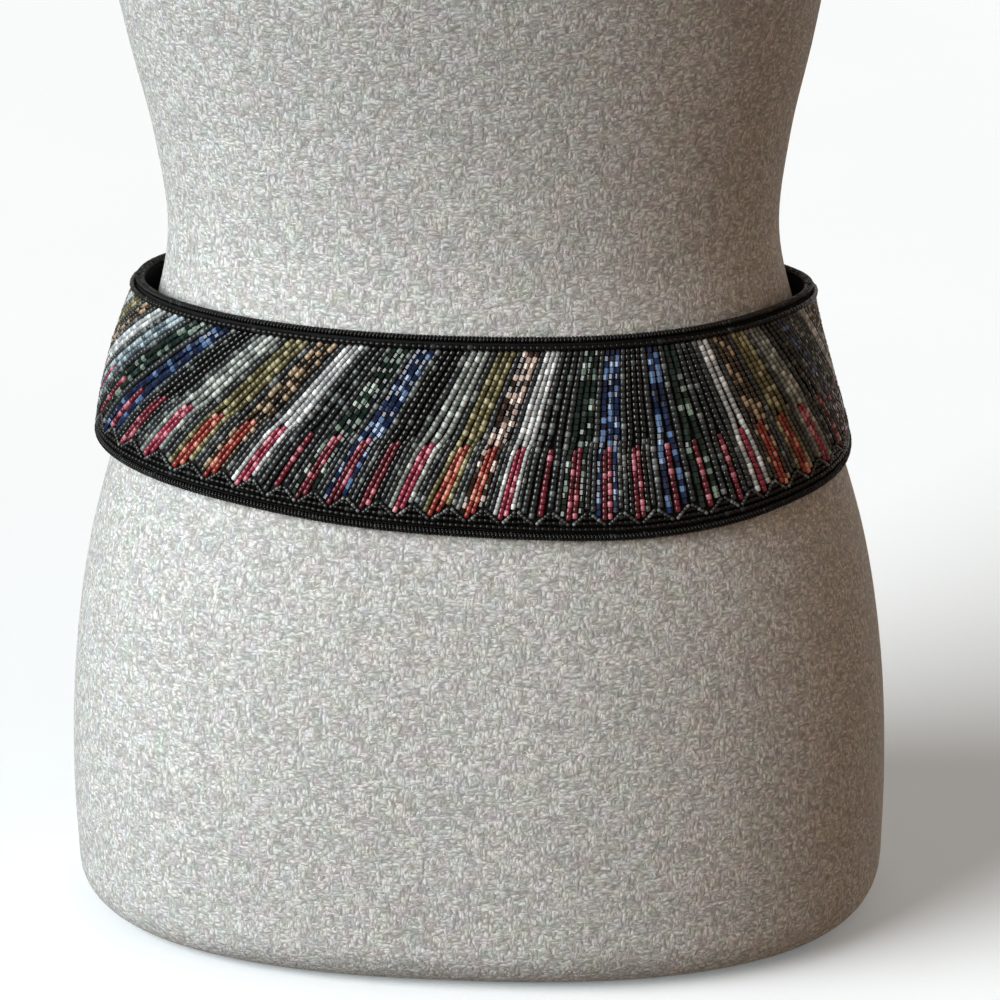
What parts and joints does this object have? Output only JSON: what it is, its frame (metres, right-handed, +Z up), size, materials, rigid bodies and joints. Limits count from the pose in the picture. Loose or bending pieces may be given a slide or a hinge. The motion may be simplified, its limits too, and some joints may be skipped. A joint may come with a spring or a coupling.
{
  "type": "beaded belt on a dress form",
  "caption": "Curved beaded belt, deepest at its middle, with rolled bead edges and a lap at the back, worn at the hips of a limbless dress form on a flat base",
  "frame": {"origin": "centre of the form's flat base, on the surface it stands on", "axes": "+Z up along the form, +X toward the viewer's right across the widest side, -Y the front of the form"},
  "size_m": [0.3354, 0.2458, 0.72],
  "materials": {
    "form_cloth": "coarse looped grey-beige cloth with a silver glint",
    "beadwork": "canvas covered in rows of small glass beads, dark overall",
    "lining_cloth": "plain black cloth",
    "black_beads": "black glass beads rolled into a rope",
    "stud_metal": "dull nickel"
  },
  "bodies": {
    "root": {"dress_form": "form_cloth", "belt_panel": "beadwork", "belt_lining": "lining_cloth", "top_edge_rope": "black_beads", "top_face_rope": "black_beads", "bottom_edge_rope": "black_beads", "press_stud_upper": "stud_metal", "press_stud_lower": "stud_metal"}
  },
  "joints": []
}
